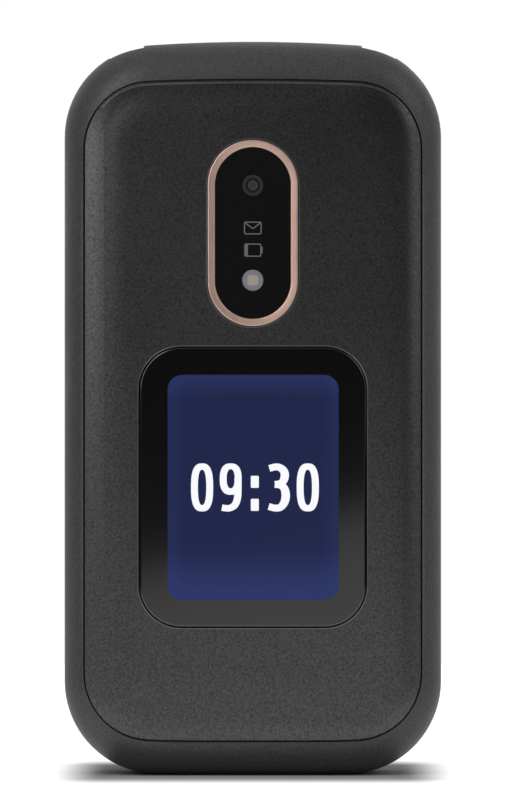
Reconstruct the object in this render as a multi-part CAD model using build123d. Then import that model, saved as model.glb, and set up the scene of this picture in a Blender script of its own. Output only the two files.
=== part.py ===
from build123d import *

import os
from math import atan2, cos, degrees, radians, sin, sqrt

# Flip phone, closed and standing on its foot, in millimetres.
# +X is to the right as the lid's face is seen, +Y runs from the lid to the base's back and +Z is up.
# The origin is the middle of the foot. The lid turns about an axis along X near the top.

# ---- Overall form ----
width = 56.0
height = 109.0
thickness = 20.0
corner = 13.8            # outline's corners
edge_round = 6.0         # rounding of the lid's front edge and of the base's back edge
top_arch = 225.0         # the top edge is slightly arched
inner_arch = 400.0       # and the outlines drawn inside it are flatter still
foot_arch = 200.0        # the foot rises a little from its flat land to the corners
foot_land = 16.0
lid_depth = 8.7
lid_gap = 0.3            # closed lid to base
mm_up = height / 109     # a millimetre of the measured height, for what keeps its share of it
mm_across = width / 56   # the same across the width

# ---- Walls and clearances ----
wall = 1.4
lid_face = 1.8           # front panel and the wall under it together
deck_drop = 1.0          # keypad deck below the base's rim
deck_wall = 1.2
part_line = 0.1          # line between two shells
seam = 0.2               # line round the lid's front panel
rim_round = 0.15         # softened rims of the front panel and of the battery cover
glue_gap = 0.05          # under a part that is glued to its seat
slide_gap = 0.15         # round a part that moves in an opening
fit_gap = 0.05           # radial clearance of pins and screws

# ---- Hinge ----
open_angle = 160.0
turn_gap = 0.3           # between the knuckles and what they turn in
barrel_half = width / 2 - 11.8
ear_width = 4.5
ear_skin = 1.2           # lid skin over the ears
web_start = -82.0        # the ear's root, in degrees from +Y towards +Z about the axis
web_end = -48.0
stop_play = 2.0          # degrees left at each end of the root
cartridge_radius = 2.9
cartridge_length = 13.0
pin_radius = 1.2
pin_reach = 8.0          # pin inside the barrel
hinge_wall = 1.3

# ---- Lid face ----
panel_thick = 0.7
panel_side = 3.02
panel_top = 5.87
panel_foot = 5.17
panel_corner = 10.0
window_width = 33.6 * mm_across
window_height = 41.45 * mm_up
window_z = 42.8 * mm_up
window_corner = 6.2
window_proud = 0.1
window_round = 0.35
screen_margin = 4.1      # black border of the window round its screen
screen_width = window_width - 2 * screen_margin
screen_height = window_height - 2 * screen_margin
screen_corner = 2.2
oval_width = 13.3 * mm_across
oval_height = 27.5 * mm_up
oval_z = 80.4 * mm_up
oval_ring = 1.05
ring_proud = 0.15
camera_z = oval_z + 7.05
camera_size = 6.4
camera_barrel = 2.6
flash_z = oval_z - 7.0
flash_radius = 1.6
icon_z = oval_z - 0.95
icon_width = 3.6
icon_height = 6.4

# ---- Lid, inner side ----
cover_face = 1.2
cover_rim = 2.0
tongue = 0.8
display_z = 50.0 * mm_up
main_screen_width = 43.2 * mm_across
main_screen_height = 57.6 * mm_up
display_frame = 1.3      # module's frame at the sides of its screen
display_end = 4.0        # and above and below it
display_thick = 2.0
lens_width = main_screen_width + 3.8
lens_height = main_screen_height + 8.4
lens_corner = 4.0
lens_thick = 0.7
lens_ledge = 1.6
board_thick = 0.8
chip_places = ((-13.0, 7.0), (2.0, 9.0))
earpiece_z = height - 18.6
earpiece_width = 12.0
earpiece_height = 5.2
earpiece_thick = 2.0
grille_width = 10.0
grille_height = 1.8
grille_thick = 0.4
boss_radius = 2.1
screw_radius = 0.8
head_thick = 0.9
head_recess = 1.3        # depth of the lid's screw recesses
lid_screw_x = width / 2 - 8.5
lid_screw_zs = (10.2, height - 20.0)
bumper_radius = 1.2
bumper_x = width / 2 - 12.5
bumper_z = 3.2
bumper_proud = 0.2
magnet_x = width / 2 - 12.0
magnet_z = 6.4
magnet_width = 4.0
magnet_height = 2.0

# ---- Keypad ----
column_pitch = 15.2 * mm_across
row_pitch = 10.4 * mm_up
key_width = column_pitch - 1.6
key_height = row_pitch - 1.8
first_row = 8.3 + key_height / 2
key_corner = 1.8
key_proud = 0.65         # key tops above the deck
key_flange = 0.6
key_edge = 0.45
key_travel = 0.35
call_z = 58.6 * mm_up
soft_z = 70.2 * mm_up
function_height = soft_z - call_z - 2.2
rocker_height = soft_z - call_z + 10.4
rocker_pivot = 6.0       # height of the rocker's flange at its middle
rocker_hollow = 15.0     # radius of its finger hollow
hollow_depth = 0.4
hollow_side = 2.2
shortcut_width = 15.0 * mm_across
shortcut_height = 5.6
shortcut_x = 10.6 * mm_across
shortcut_z = soft_z + 12.4
mat_thick = 0.55
dome_radius = 2.4        # seats of the domes in the mat

# ---- Base, inside and back ----
case_line = 3.0          # from the base's rim back to the line between its two shells
base_head_depth = 4.3    # screw heads below the battery cover's surface
base_boss = 2.2          # radius of the base's screw bosses
ledge_depth = 4.4        # the cover's ledge ends this far before the back
cover_side = 1.9
cover_foot = 4.2
cover_top = height - 20.8
cover_thick = 1.0
cover_ledge = 1.0
cover_corner = 9.6
battery_width = 38.0 * mm_across
battery_height = 51.8 * mm_up
battery_thick = 3.9
battery_z = cover_foot + 9.5 + battery_height / 2
bay_gap = 0.35
bay_wall = 0.9
contact_width = 9.0
contact_height = 1.9
sim_x = 8.25
sim_z = 28.5
sim_width = 15.5
sim_height = 13.0
can_gap = 2.2            # between the two board shields
can_width = 17.0 * mm_across
can_depth = 1.4
can_wall = 0.3
volume_z = 77.0 * mm_up
volume_length = 14.0
volume_width = 2.4
switch_half = volume_length / 2 + 1.0
switch_inset = 3.15      # the switch strip's face behind the base's side
board_foot = 2.4
board_top = 7.6          # board's upper edge below the hinge axis
usb_width = 7.8
usb_height = 2.7
usb_depth = 5.6
jack_z = height - 15.8
jack_radius = 1.8
jack_nose = 0.6
jack_length = 12.6
port_sink = 0.3          # ports and contacts below the base's surface
speaker_width = 16.0
speaker_height = 9.6
speaker_thick = 3.0
speaker_z = height - 14.4
microphone_x = 11.0 * mm_across
microphone_z = 4.9
contact_x = microphone_x
contact_radius = 0.8
contact_length = 2.8
motor_x = -16.0 * mm_across
motor_radius = 4.4
motor_thick = 2.8
antenna_half = 17.0 * mm_across

# ---- Places worked out from the sizes above ----
front_y = -thickness / 2
back_y = thickness / 2
lid_back = front_y + lid_depth
base_front = lid_back + lid_gap
deck_y = base_front + deck_drop
deck_back = deck_y + deck_wall
case_y = base_front + case_line
axis_y = front_y + edge_round
axis_z = height - edge_round
sweep_radius = edge_round + turn_gap
ear_in = barrel_half + turn_gap
ear_out = ear_in + ear_width
pocket_out = ear_out + turn_gap
skin_edge = web_end + stop_play + open_angle
corner_x = width / 2 - corner
corner_z = height - top_arch + sqrt((top_arch - corner) ** 2 - corner_x**2)
seat_y = front_y + panel_thick + glue_gap
inner_face_y = front_y + lid_face
cover_y = lid_back - cover_rim
cover_end_z = axis_z - sweep_radius - 0.5
hollow_top = axis_z - sweep_radius - hinge_wall + 0.3
key_top = deck_y - key_proud
key_back = deck_back + 0.1 + key_flange
mat_y = key_back + key_travel + 0.05
board_y = mat_y + mat_thick + 0.05
board_back = board_y + board_thick
battery_y = board_back + 1.05
can_low = battery_z + battery_height / 2 + 4.1
can_high = cover_top - 4.6
base_screw_places = (
    (width / 2 - 3.5, cover_foot + 14.0), (width / 2 - 3.5, 64.4 * mm_up), (width / 2 - 7.0, cover_top - 4.4),
)
wide = 2 * width
reach = 2 * height


# ---- Plain shapes, placed in the phone's frame ----
def at(x, z, face):
    """A flat outline drawn in X and Z, moved to its place."""
    return Pos(x, z) * face


def slab(face, y_low, y_high):
    """An outline in X and Z made solid between two depths."""
    return extrude(Plane.XZ.offset(-y_high) * face, amount=y_high - y_low)


def beam(face, x_low, x_high):
    """An outline in Y and Z made solid between two places along X."""
    return extrude(Plane.YZ.offset(x_low) * face, amount=x_high - x_low)


def block(x_low, x_high, y_low, y_high, z_low, z_high):
    size = (x_high - x_low, y_high - y_low, z_high - z_low)
    middle = ((x_low + x_high) / 2, (y_low + y_high) / 2, (z_low + z_high) / 2)
    return Pos(*middle) * Box(*size)


def rod(x, z, radius, y_low, y_high):
    return slab(at(x, z, Circle(radius)), y_low, y_high)


def axle(radius, x_low, x_high):
    """A round bar on the hinge's axis."""
    return beam(Pos(axis_y, axis_z) * Circle(radius), x_low, x_high)


def soft_rectangle(x, z, size_x, size_z, radius):
    return at(x, z, RectangleRounded(size_x, size_z, radius))


def oval(grow):
    """Upright oval of the camera trim, widened all round."""
    return at(0, oval_z, SlotOverall(oval_height + 2 * grow, oval_width + 2 * grow, rotation=90))


def shield(half_width, low, high, corner_low, corner_high, arch_high, arch_low, land_half):
    """Straight sides, round corners, an arched top and an arched foot with a flat land."""
    low_x = half_width - corner_low
    high_x = half_width - corner_high
    high_centre = high - arch_high
    low_centre = low + arch_low
    high_z = high_centre + sqrt((arch_high - corner_high) ** 2 - high_x**2)
    low_z = low_centre - sqrt((arch_low - corner_low) ** 2 - (low_x - land_half) ** 2)
    turn_high = degrees(atan2(high_z - high_centre, high_x))
    turn_low = degrees(atan2(low_centre - low_z, low_x - land_half))
    right = [
        Line((half_width, low_z), (half_width, high_z)),
        CenterArc((high_x, high_z), corner_high, 0, turn_high),
        CenterArc((low_x, low_z), corner_low, 0, -turn_low),
        CenterArc((land_half, low_centre), arch_low, -90, 90 - turn_low),
    ]
    left = [edge.mirror(Plane.YZ) for edge in right]
    top = CenterArc((0, high_centre), arch_high, turn_high, 180 - 2 * turn_high)
    land = Line((-land_half, low), (land_half, low))
    return make_face([*right, *left, top, land])


def outline(inset):
    """The phone's outline seen from the front, drawn in by an even distance."""
    return shield(
        width / 2 - inset, inset, height - inset, corner - inset, corner - inset,
        top_arch - inset, foot_arch - inset, foot_land / 2,
    )


def framed(side, foot, top_z, radius):
    """An outline inside the phone's own, with its own side, foot and top margins."""
    return shield(
        width / 2 - side, foot, top_z, radius, radius,
        inner_arch, foot_arch - foot, foot_land / 2,
    )


def rounded_front(body, radius):
    return fillet(body.faces().sort_by(Axis.Y)[0].outer_wire().edges(), radius)


def rounded_back(body, radius):
    return fillet(body.faces().sort_by(Axis.Y)[-1].outer_wire().edges(), radius)


def lid_form(inset):
    """The lid's outer form, drawn in all round but open to the back."""
    return rounded_front(slab(outline(inset), front_y + inset, lid_back), edge_round - inset)


def base_form(inset):
    """The base's outer form, drawn in all round but open to the front."""
    return rounded_back(slab(outline(inset), base_front, back_y - inset), edge_round - inset)


# ---- Hinge shapes ----
def pie(radius, start, end):
    """Sector about the hinge axis, its angles in degrees from +Y towards +Z."""
    middle = (axis_y, axis_z)
    first = (axis_y + radius * cos(radians(start)), axis_z + radius * sin(radians(start)))
    last = (axis_y + radius * cos(radians(end)), axis_z + radius * sin(radians(end)))
    return make_face([Line(middle, first), CenterArc(middle, radius, start, end - start), Line(last, middle)])


def spun(profile):
    """A profile in X and radius, turned about the hinge axis."""
    return Pos(0, axis_y, axis_z) * revolve(profile, Axis.X)


def knuckle(x_low, x_high, inset):
    """A turned knuckle that follows the outline's corner from inside."""

    def radius(x):
        return corner_z + sqrt((corner - inset) ** 2 - (x - corner_x) ** 2) - axis_z

    middle = (x_low + x_high) / 2
    low, high = (x_low, radius(x_low)), (x_high, radius(x_high))
    curve = ThreePointArc(low, (middle, radius(middle)), high)
    return spun(make_face([Line((x_low, 0), low), curve, Line(high, (x_high, 0)), Line((x_high, 0), (x_low, 0))]))


def barrel():
    """The lid's middle knuckle, arched as the top edge is."""
    crown = edge_round - glue_gap
    end = crown - top_arch + sqrt(top_arch**2 - barrel_half**2)
    curve = ThreePointArc((-barrel_half, end), (0, crown), (barrel_half, end))
    ends = [Line((-barrel_half, 0), (-barrel_half, end)), Line((barrel_half, end), (barrel_half, 0))]
    return spun(make_face([*ends, curve, Line((barrel_half, 0), (-barrel_half, 0))]))


def mirrored(body):
    return body.mirror(Plane.YZ)


def both_sides(body):
    return body + mirrored(body)


# ---- Lid ----
def panel_outline(grow):
    return framed(panel_side - grow, panel_foot - grow, height - panel_top + grow, panel_corner + grow)


def window_outline(grow):
    return soft_rectangle(0, window_z, window_width + 2 * grow, window_height + 2 * grow, window_corner + grow)


def lid_outside():
    """The lid's outer form with its barrel and the pockets for the base's ears."""
    body = lid_form(0) - beam(pie(2 * edge_round, 0, 90), -pocket_out, pocket_out)
    pocket = knuckle(barrel_half, pocket_out, ear_skin)
    pocket += beam(pie(2 * edge_round, 0, skin_edge), barrel_half, pocket_out)
    pocket += beam(pie(sweep_radius, web_start - stop_play, 0), barrel_half, pocket_out)
    return body - both_sides(pocket) + barrel()


def lid_screw_places():
    return [(side * lid_screw_x, z) for side in (-1, 1) for z in lid_screw_zs]


def make_lid_outer_shell():
    hollow = slab(outline(wall), inner_face_y, lid_back + 1)
    hollow = rounded_front(hollow, edge_round - lid_face)
    hollow -= block(-wide, wide, front_y, back_y, hollow_top, reach)
    body = lid_outside() - hollow
    body -= block(-wide, wide, cover_y - part_line / 2, lid_back + 0.5, -1, cover_end_z + part_line)
    # bosses that take the lid's screws
    for x, z in lid_screw_places():
        body += rod(x, z, boss_radius, inner_face_y - 0.3, cover_y - 0.9)
        body -= rod(x, z, screw_radius + fit_gap, inner_face_y + 0.4, cover_y)
    # locating ribs round the outer display
    for side in (-1, 1):
        low, high = sorted((side * (window_width / 2 - 0.55), side * (window_width / 2 + 0.25)))
        rib_half = window_height / 2 - 4.9
        body += block(low, high, inner_face_y - 0.3, inner_face_y + 1.6, window_z - rib_half, window_z + rib_half)
    # seat of the front panel and openings in the wall under it
    body -= slab(panel_outline(seam / 2), front_y - 1, lid_back) - lid_form(panel_thick + glue_gap)
    openings = soft_rectangle(0, window_z, screen_width + 2, screen_height + 2, screen_corner + 1)
    openings += at(0, camera_z, Circle(camera_barrel + 0.2))
    openings += at(0, flash_z, Circle(flash_radius + slide_gap))
    openings += at(0, icon_z, Rectangle(icon_width + 0.3, icon_height + 0.3))
    body -= slab(openings, front_y - 1, inner_face_y + 1.5)
    # bores of the hinge cartridge and of the pin
    body -= axle(cartridge_radius + glue_gap, -barrel_half - 0.1, cartridge_length - barrel_half)
    body -= axle(pin_radius + fit_gap, barrel_half - pin_reach - 0.5, barrel_half + 0.1)
    return body


def rim_edges(body, side):
    """Outer edges of the walls round a thin panel: side 1 is its back, -1 its front."""
    rim = []
    for face in body.faces():
        if abs(face.normal_at(face.center()).Y) < 0.001:
            runs = [edge for edge in face.edges() if abs((edge % 0.5).Y) < 0.7]
            rim += sorted(runs, key=lambda edge: -side * (edge @ 0.5).Y)[: len(runs) // 2]
    return rim


def make_lid_front_panel():
    skin = lid_form(0) - lid_form(panel_thick)
    panel = skin & slab(panel_outline(-seam / 2), front_y - 1, lid_back)
    panel = fillet(rim_edges(panel, -1), rim_round)
    panel -= slab(window_outline(0.1), front_y - 1, lid_back)
    return panel - slab(oval(0.1), front_y - 1, lid_back)


def make_outer_display_window():
    glass = slab(window_outline(0), front_y - window_proud, seat_y)
    return rounded_front(glass, window_round)


def make_outer_display_module():
    low, high = inner_face_y + glue_gap, inner_face_y + 1.9
    size_x, size_z = window_width - 1.4, window_height - 2
    module = block(-size_x / 2, size_x / 2, low, high, window_z - size_z / 2, window_z + size_z / 2)
    glass = block(-screen_width / 2, screen_width / 2, low - 0.6, low, window_z - screen_height / 2,
                  window_z + screen_height / 2)
    return module + glass


def make_camera_trim_ring():
    ring = slab(oval(0) - oval(-oval_ring), front_y - ring_proud, seat_y)
    outer = ring.faces().sort_by(Axis.Y)[0].edges()
    return fillet(outer, ring_proud)


def make_camera_window():
    window = slab(oval(-oval_ring - glue_gap), front_y + 0.1, seat_y)
    window -= rod(0, flash_z, flash_radius + glue_gap, front_y - 1, lid_back)
    return window - rod(0, camera_z, camera_barrel / 2 + glue_gap, front_y - 1, lid_back)


def make_camera_module():
    half = camera_size / 2
    body = block(-half, half, inner_face_y + glue_gap, inner_face_y + 3.0, camera_z - half, camera_z + half)
    lens = rod(0, camera_z, camera_barrel, seat_y + 0.05, inner_face_y + glue_gap)
    nose = rod(0, camera_z, camera_barrel / 2, front_y + 0.25, seat_y + 0.05)
    nose -= rod(0, camera_z, camera_barrel / 4, front_y - 1, front_y + 0.5)
    return body + lens + nose


def make_flash_led():
    lens = rod(0, flash_z, flash_radius, front_y + 0.1, inner_face_y + 0.3)
    base = rod(0, flash_z, flash_radius + 0.5, inner_face_y + 0.05, lid_board_y() - 0.05)
    return rounded_front(lens, 0.2) + base


def make_indicator_light_guide():
    guide = block(-icon_width / 2, icon_width / 2, seat_y + 0.05, lid_board_y() - 0.05,
                  icon_z - icon_height / 2, icon_z + icon_height / 2)
    for side in (-1, 1):
        foot = 0.8 * side
        low, high = sorted((side * icon_width / 2, side * icon_width / 2 + foot))
        guide += block(low, high, inner_face_y + 0.1, lid_board_y() - 0.05, icon_z - 2, icon_z + 2)
    return guide


def lid_board_y():
    return inner_face_y + 2.25


def make_lid_board():
    low, high = display_z - main_screen_height / 2 - 6.2, camera_z - camera_size / 2 - 0.3
    half = main_screen_width / 2 + 0.4
    body = block(-half, half, lid_board_y(), lid_board_y() + board_thick, low, high)
    chip_y = lid_board_y() + board_thick
    for x, size in chip_places:
        body += block(x - size / 2, x + size / 2, chip_y, chip_y + 0.5, display_z - size / 2, display_z + size / 2)
    return body


def make_lid_inner_cover():
    face_y = lid_back - cover_face
    body = slab(outline(0), cover_y + part_line / 2, lid_back)
    body -= slab(outline(wall), cover_y - 1, face_y)
    ring = outline(wall + glue_gap) - outline(wall + tongue)
    body += slab(ring, cover_y - 0.8, face_y + 0.3)
    body -= block(-wide, wide, cover_y - 2, back_y, cover_end_z, reach)
    body -= block(-wide, wide, cover_y - 2, cover_y, hollow_top - 0.1, reach)
    end_bar = slab(outline(wall + 0.2), cover_y + 0.3, face_y + 0.3)
    body += end_bar & block(-wide, wide, front_y, back_y, cover_end_z - 1.2, cover_end_z)
    # opening of the main display with a ledge for its lens
    body -= slab(soft_rectangle(0, display_z, lens_width, lens_height, lens_corner),
                 lid_back - lens_thick - glue_gap - 0.05, lid_back + 1)
    body -= slab(soft_rectangle(0, display_z, lens_width - 2 * lens_ledge, lens_height - 2 * lens_ledge,
                                lens_corner - 1), cover_y - 2, lid_back + 1)
    body -= slab(soft_rectangle(0, earpiece_z, grille_width, grille_height, 0.85), cover_y - 2, lid_back + 1)
    for x, z in lid_screw_places():
        body += rod(x, z, boss_radius, cover_y - 0.8, face_y + 0.3)
        body -= rod(x, z, screw_radius + fit_gap, cover_y - 2, lid_back)
        body -= rod(x, z, 2 * screw_radius + fit_gap, lid_back - head_recess, lid_back + 1)
    for side in (-1, 1):
        body -= rod(side * bumper_x, bumper_z, bumper_radius + fit_gap, lid_back - 0.5, lid_back + 1)
    return body


def make_main_display_lens():
    gap = 0.1
    face = soft_rectangle(0, display_z, lens_width - 2 * gap, lens_height - 2 * gap, lens_corner - gap)
    return slab(face, lid_back - 0.05 - lens_thick, lid_back - 0.05)


def display_front():
    """The main display lies against the inner cover's ledge."""
    return lid_back - cover_face - 0.05


def make_main_display_module():
    size_x, size_z = main_screen_width + 2 * display_frame, main_screen_height + 2 * display_end
    body = block(-size_x / 2, size_x / 2, display_front() - display_thick, display_front(),
                 display_z - size_z / 2, display_z + size_z / 2)
    glass = block(-main_screen_width / 2, main_screen_width / 2, display_front(), display_front() + 0.3,
                  display_z - main_screen_height / 2, display_z + main_screen_height / 2)
    return body + glass


def make_earpiece():
    back = display_front() - 0.1 - grille_thick
    return slab(soft_rectangle(0, earpiece_z, earpiece_width, earpiece_height, 1.2), back - earpiece_thick, back)


def make_earpiece_grille():
    low = display_front() - grille_thick
    plate = slab(soft_rectangle(0, earpiece_z, grille_width + 1.6, grille_height + 1.4, 1.2), low, display_front())
    for row in (-1, 1):
        for place in range(-4, 5):
            plate -= rod(place * 1.0, earpiece_z + row * 0.4, 0.25, low - 1, lid_back)
    return plate


def screw(x, z, head_y, tip_y):
    """A small screw whose head faces the back."""
    slot_y = head_y + head_thick / 2
    head = rod(x, z, 2 * screw_radius, head_y, head_y + head_thick)
    slot = block(x - screw_radius, x + screw_radius, slot_y, head_y + 2, z - 0.15, z + 0.15)
    cross = block(x - 0.15, x + 0.15, slot_y, head_y + 2, z - screw_radius, z + screw_radius)
    return head + rod(x, z, screw_radius, tip_y, head_y) - slot - cross


def make_lid_screws():
    return Compound(children=[
        screw(x, z, lid_back - head_recess + glue_gap, inner_face_y + 0.6) for x, z in lid_screw_places()
    ])


def make_lid_bumpers():
    bumpers = []
    for side in (-1, 1):
        pad = rod(side * bumper_x, bumper_z, bumper_radius, lid_back - 0.45, lid_back + bumper_proud)
        bumpers.append(rounded_back(pad, 0.15))
    return Compound(children=bumpers)


def make_lid_magnet():
    return block(magnet_x - magnet_width / 2, magnet_x + magnet_width / 2, cover_y - 0.6, display_front(),
                 magnet_z - magnet_height / 2, magnet_z + magnet_height / 2)


def make_hinge_cartridge():
    """Housing of the spring cam, fixed in the barrel's left end."""
    left = -barrel_half
    body = axle(cartridge_radius, left + 0.05, left + cartridge_length - 0.1)
    body -= axle(pin_radius + fit_gap, left - 1, left + cartridge_length - 2)
    for turn in range(4):
        ring = axle(cartridge_radius + 1, left + 4 + 2 * turn, left + 4.6 + 2 * turn)
        body -= ring - axle(cartridge_radius - 0.35, left, left + cartridge_length)
    return body


# ---- Base ----
def deck_outline(inset):
    return framed(2.6 + inset, 5.6 + inset, axis_z - 9.3 - inset, corner - 3.4 - inset)


def base_hollow():
    hollow = slab(outline(wall), deck_back, back_y - wall)
    hollow = rounded_back(hollow, edge_round - wall)
    return hollow - axle(sweep_radius + hinge_wall, -wide, wide)


def base_outside():
    """The base's outer form, cut back to let the lid's knuckles turn and its face lie open."""
    body = base_form(0) - axle(sweep_radius, -wide, wide)
    open_lid = Pos(sweep_radius - thickness, thickness) * Rectangle(2 * thickness, 2 * thickness)
    lean = Pos(axis_y, axis_z) * Rot(0, 0, 180 - open_angle)
    return body - beam(lean * open_lid, -wide, wide)


def front_zone(grow):
    """Where the base's front shell lies: before the case line and below the hinge."""
    return block(-wide, wide, front_y, case_y + grow, -1, axis_z - 3.4 + grow)


def ear():
    """Hinge ear with its root, on the right."""
    root = beam(pie(edge_round, web_start, web_end), ear_in, ear_out)
    root += beam(pie(sweep_radius + 0.6, web_start, web_end), ear_in, ear_out) & base_form(0)
    body = root + knuckle(ear_in, ear_out, ear_skin + turn_gap)
    return body - axle(pin_radius + fit_gap, ear_in - 1, ear_out - 0.8)


def key_outline(x, z, size_x, size_z, grow):
    return soft_rectangle(x, z, size_x + 2 * grow, size_z + 2 * grow, key_corner + grow)


def number_keys():
    names = ("star", "0", "hash", "7", "8", "9", "4", "5", "6", "1", "2", "3")
    places = {}
    for index, name in enumerate(names):
        row, column = divmod(index, 3)
        places["key_" + name] = ((column - 1) * column_pitch, first_row + row * row_pitch, key_width, key_height)
    return places


def function_keys():
    side = column_pitch
    return {
        "key_call": (-side, call_z, key_width, function_height),
        "key_end": (side, call_z, key_width, function_height),
        "key_soft_left": (-side, soft_z, key_width, function_height),
        "key_soft_right": (side, soft_z, key_width, function_height),
        "key_camera": (-shortcut_x, shortcut_z, shortcut_width, shortcut_height),
        "key_message": (shortcut_x, shortcut_z, shortcut_width, shortcut_height),
    }


def navigation_place():
    return (0, (call_z + soft_z) / 2, key_width, rocker_height)


def base_screws_at():
    return [(side * x, z) for side in (-1, 1) for x, z in base_screw_places]


def make_base_front_cover():
    body = (base_outside() - base_hollow()) & front_zone(-part_line / 2)
    body -= slab(deck_outline(0), base_front - 1, deck_y)
    for place in [*number_keys().values(), *function_keys().values(), navigation_place()]:
        body -= slab(key_outline(*place, slide_gap), base_front - 1, deck_back + 1)
    for x, z in base_screws_at():
        body += rod(x, z, 1.75, deck_back - 0.3, board_y - 0.05)
        body -= rod(x, z, screw_radius + fit_gap, deck_y + 0.5, back_y)
    # tongue that enters the rear housing
    ring = outline(wall + glue_gap) - outline(wall + tongue)
    tongue_ring = slab(ring, deck_back - 0.3, case_y + 0.6) & front_zone(1)
    tongue_ring -= axle(sweep_radius + hinge_wall + 2, -wide, wide)
    notch = switch_half + 1.0
    body += tongue_ring - block(-wide, 0, case_y - 1, back_y, volume_z - notch, volume_z + notch)
    body -= rod(microphone_x, microphone_z, 0.5, base_front - 1, deck_back + 0.5)
    return body + both_sides(ear())


def cover_outline(grow):
    return framed(cover_side - grow, cover_foot - grow, cover_top + grow, cover_corner + grow)


def bay_rectangle(grow):
    size_x = battery_width + 2 * (bay_gap + grow)
    size_z = battery_height + 2 * (bay_gap + grow) + contact_height + 0.3
    return at(0, battery_z + (contact_height + 0.3) / 2, Rectangle(size_x, size_z))


def make_base_rear_housing():
    floor_y = board_back + 0.1
    body = base_outside() - base_hollow() - front_zone(part_line / 2)
    ledge = base_form(cover_thick + glue_gap) - base_form(cover_thick + glue_gap + cover_ledge)
    body += ledge & slab(cover_outline(1.0), back_y - ledge_depth, back_y)
    body += slab(bay_rectangle(bay_wall), floor_y, back_y - cover_thick - 0.6)
    # floor opening for the SIM socket and for the battery contacts
    body -= block(*sim_box(0.2)) + block(*contact_box(0.2))
    for x, z in base_screws_at():
        body += rod(x, z, base_boss, board_back + 0.05, back_y) & base_form(wall)
        body -= rod(x, z, screw_radius + fit_gap, board_back - 1, back_y)
        body -= rod(x, z, 2 * screw_radius + fit_gap, back_y - base_head_depth, back_y + 1)
    # recess of the battery cover and the battery's bay
    body -= slab(cover_outline(seam / 2), board_back, back_y + 1) - base_form(cover_thick + glue_gap)
    body -= slab(bay_rectangle(0), battery_y - 0.1, back_y + 1)
    # slots before the loudspeaker
    for row in range(-2, 3):
        slot = SlotOverall(speaker_width - 5 - abs(row), 0.9)
        body -= slab(at(0, speaker_z - 1.2 + row * 1.7, slot), back_y - wall - 0.5, back_y + 1)
    # openings of the USB port, the headset jack, the volume rocker and the charging contacts
    usb_middle = board_back + 0.05 + usb_height / 2
    opening = RectangleRounded(usb_width + 0.5, usb_height + 0.5, 0.7)
    body -= Pos(0, usb_middle, -0.5) * extrude(opening, amount=wall + 1.6)
    body -= jack_rod(jack_radius + jack_nose + fit_gap, 20, width)
    body -= block(-width, 0, *volume_span(slide_gap), volume_z - volume_length / 2 - slide_gap,
                  volume_z + volume_length / 2 + slide_gap) & slab(outline(-1) - outline(wall + 0.1), 0, back_y)
    for side in (-1, 1):
        body -= contact_pin(side, contact_radius + fit_gap, -1, contact_length + 1)
    # notch for a fingernail under the cover's foot
    body -= slab(at(0, cover_foot - 0.4, SlotOverall(10, 1.8)), back_y - 1.6, back_y + 1)
    return body


def sim_box(grow):
    half_x, half_z = sim_width / 2 + grow, sim_height / 2 + grow
    return sim_x - half_x, sim_x + half_x, board_back + 0.05, battery_y - 0.15, sim_z - half_z, sim_z + half_z


def contact_box(grow):
    low = battery_z + battery_height / 2 + 0.2
    return (-contact_width / 2 - grow, contact_width / 2 + grow, board_back + 0.05, battery_y + 2.6,
            low - grow, low + contact_height + grow)


def volume_span(grow):
    middle = case_y + part_line + 0.4 + volume_width / 2
    return middle - volume_width / 2 - grow, middle + volume_width / 2 + grow


def jack_rod(radius, x_low, x_high):
    return Pos(0, board_back + 2.45, jack_z) * beam(Circle(radius), x_low, x_high)


def contact_pin(side, radius, z_low, z_high):
    foot = Pos(side * contact_x, board_y + 0.65, z_low) * Circle(radius)
    return extrude(foot, amount=z_high - z_low)


def make_key(place, edge=key_edge):
    """A key's cap with the flange that keeps it behind the deck."""
    cap = rounded_front(slab(key_outline(*place, 0), key_top, key_back), edge)
    return cap + slab(key_outline(*place, key_flange), deck_back + 0.1, key_back)


def make_navigation_rocker():
    x, z, size_x, size_z = navigation_place()
    cap = rounded_front(slab(key_outline(x, z, size_x, size_z, 0), key_top, key_back), key_edge)
    # finger hollow across the middle
    half = size_x / 2 - hollow_side
    cap -= Pos(0, key_top - rocker_hollow + hollow_depth, z) * beam(Circle(rocker_hollow), -half, half)
    flange = slab(at(x, z, Rectangle(size_x + 2 * key_flange, rocker_pivot)), deck_back + 0.2, key_back)
    return cap + flange


def make_keypad_mat():
    low, high = first_row - key_height / 2 - 1.2, shortcut_z + shortcut_height / 2 + 1.2
    half = column_pitch + key_width / 2 + 0.4
    mat = slab(soft_rectangle(0, (low + high) / 2, 2 * half, high - low, 2), mat_y, mat_y + mat_thick)
    for x, z in base_screws_at():
        mat -= rod(x, z, boss_radius, mat_y - 1, mat_y + 2)
    for x, z, *_ in [*number_keys().values(), *function_keys().values()]:
        mat -= rod(x, z, dome_radius, mat_y + 0.35, mat_y + 1)
    return mat


def make_main_board():
    board = slab(outline(wall + tongue + 0.15), board_y, board_back)
    board &= block(-wide, wide, board_y - 1, board_back + 1, board_foot, axis_z - board_top)
    for x, z in base_screws_at():
        board -= rod(x, z, screw_radius + 0.3, board_y - 1, board_back + 1)
    notch = switch_half + 0.6
    edge_x = -width / 2 + switch_inset + 0.05
    board -= block(-wide, edge_x, board_y - 1, board_back + 1, volume_z - notch, volume_z + notch)
    for side in (-1, 1):
        board -= contact_pin(side, contact_radius + 0.3, 0, contact_length + 0.6)
    return board


def make_board_shields():
    shields = []
    for low in (-can_gap / 2 - can_width, can_gap / 2):
        high = low + can_width
        can = block(low, high, board_back, board_back + can_depth, can_low, can_high)
        can -= block(low + can_wall, high - can_wall, board_back - 1, board_back + can_depth - can_wall,
                     can_low + can_wall, can_high - can_wall)
        shields.append(can)
    return Compound(children=shields)


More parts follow.
